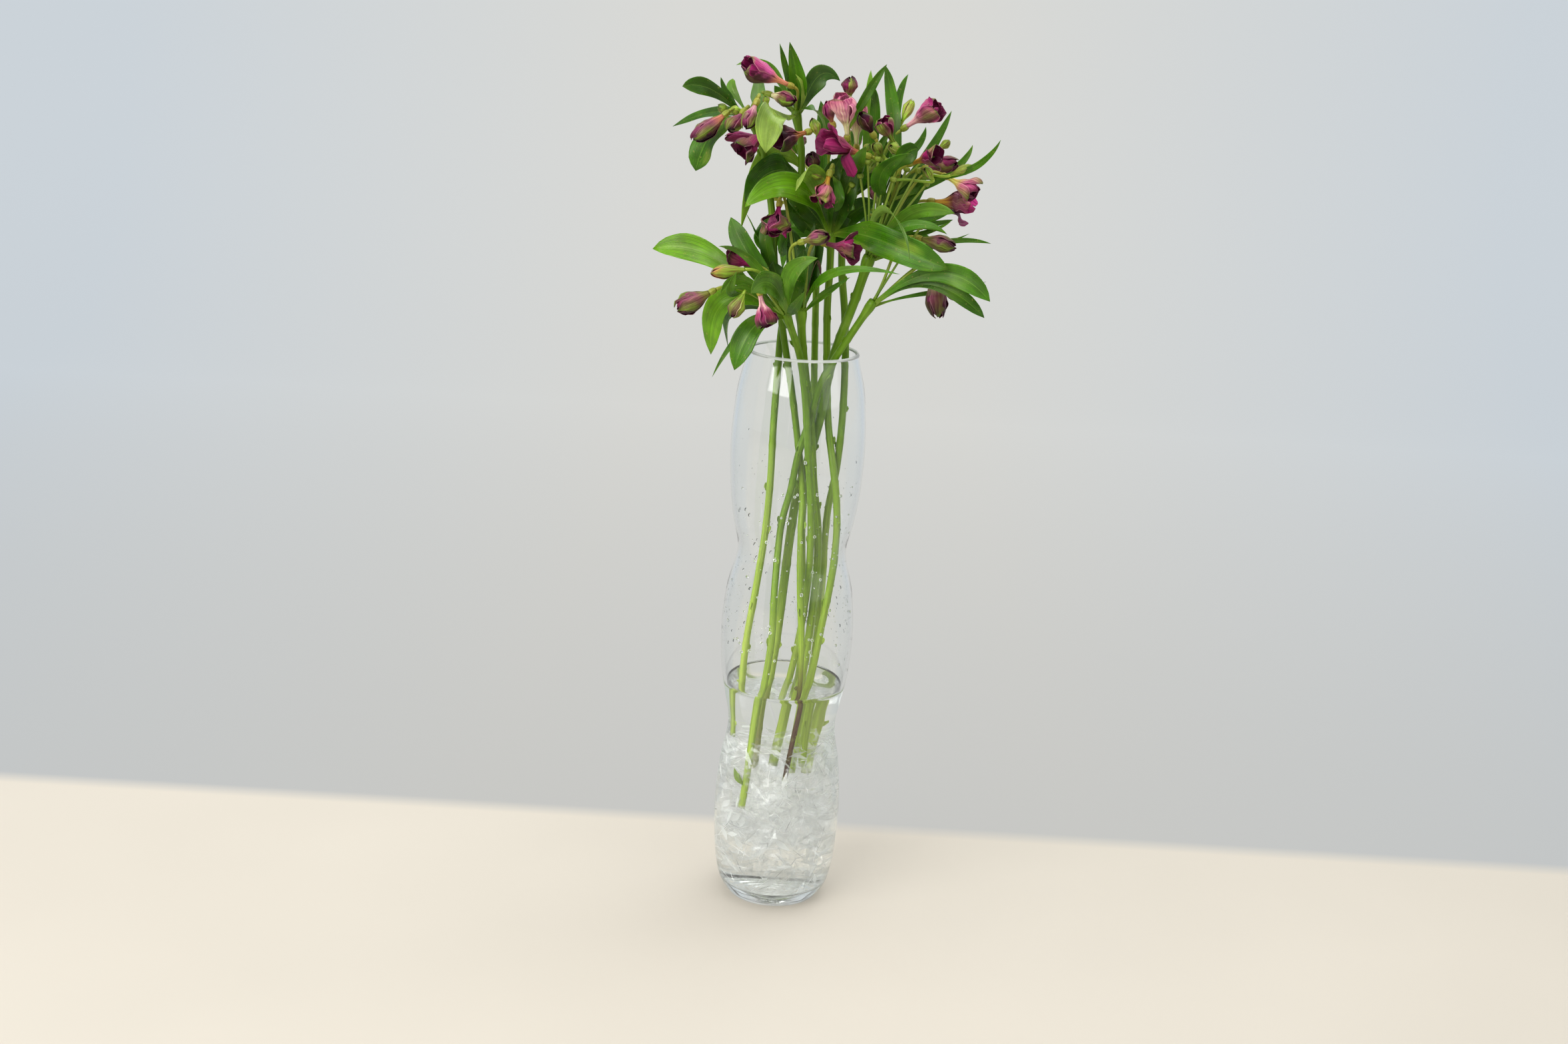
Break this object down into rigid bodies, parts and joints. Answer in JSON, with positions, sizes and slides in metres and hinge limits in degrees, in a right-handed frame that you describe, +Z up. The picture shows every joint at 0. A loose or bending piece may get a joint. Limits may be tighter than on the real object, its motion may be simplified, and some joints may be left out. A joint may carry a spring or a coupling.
{
  "type": "cut peruvian lilies in a glass vase",
  "caption": "Cut peruvian lily (alstroemeria) stems with purple-pink blooms and green leaves, standing in a tall clear glass vase with water and crumpled clear film.",
  "frame": {"origin": "middle of the vase's flat foot, on the surface that it stands on", "axes": "+Z up along the vase, +X to the right and -Y to the front as the bunch is seen"},
  "size_m": [0.279, 0.232, 0.7514],
  "materials": {
    "glass": "clear, smooth",
    "water": "clear, still",
    "film": "clear, crumpled",
    "foliage": "satin, finely veined",
    "petals_open": "satin",
    "petals_trumpet": "satin",
    "petals_wilted": "matte, creased",
    "petals_closed": "satin"
  },
  "bodies": {
    "root": {"vase": "glass", "water": "water", "film": "film", "stem_1": "foliage", "stem_2": "foliage", "stem_3": "foliage", "stem_4": "foliage", "stem_5": "foliage", "stem_6": "foliage", "stem_7": "foliage", "stem_8": "foliage", "stem_9": "foliage", "bloom_01": "petals_trumpet", "bloom_02": "petals_closed", "bloom_03": "petals_closed", "bloom_04": "petals_closed", "bloom_05": "petals_closed", "bloom_06": "petals_open", "bloom_07": "petals_closed", "bloom_08": "petals_trumpet", "bloom_09": "petals_closed", "bloom_10": "petals_closed", "bloom_11": "petals_trumpet", "bloom_12": "petals_trumpet", "bloom_13": "petals_closed", "bloom_14": "petals_trumpet", "bloom_15": "petals_open", "bloom_16": "petals_trumpet", "bloom_17": "petals_open", "bloom_18": "petals_closed", "bloom_19": "petals_trumpet", "bloom_20": "petals_wilted", "bloom_21": "petals_closed", "bloom_22": "petals_wilted", "bloom_23": "petals_wilted", "bloom_24": "petals_closed", "bloom_25": "petals_open", "bloom_26": "petals_open", "bloom_27": "petals_closed", "bloom_28": "petals_trumpet", "bloom_29": "petals_closed", "bloom_30": "petals_closed", "bloom_31": "petals_closed", "bloom_32": "petals_open", "bloom_33": "petals_closed", "bloom_34": "petals_open", "bloom_35": "petals_trumpet", "bloom_36": "petals_closed"}
  },
  "joints": []
}
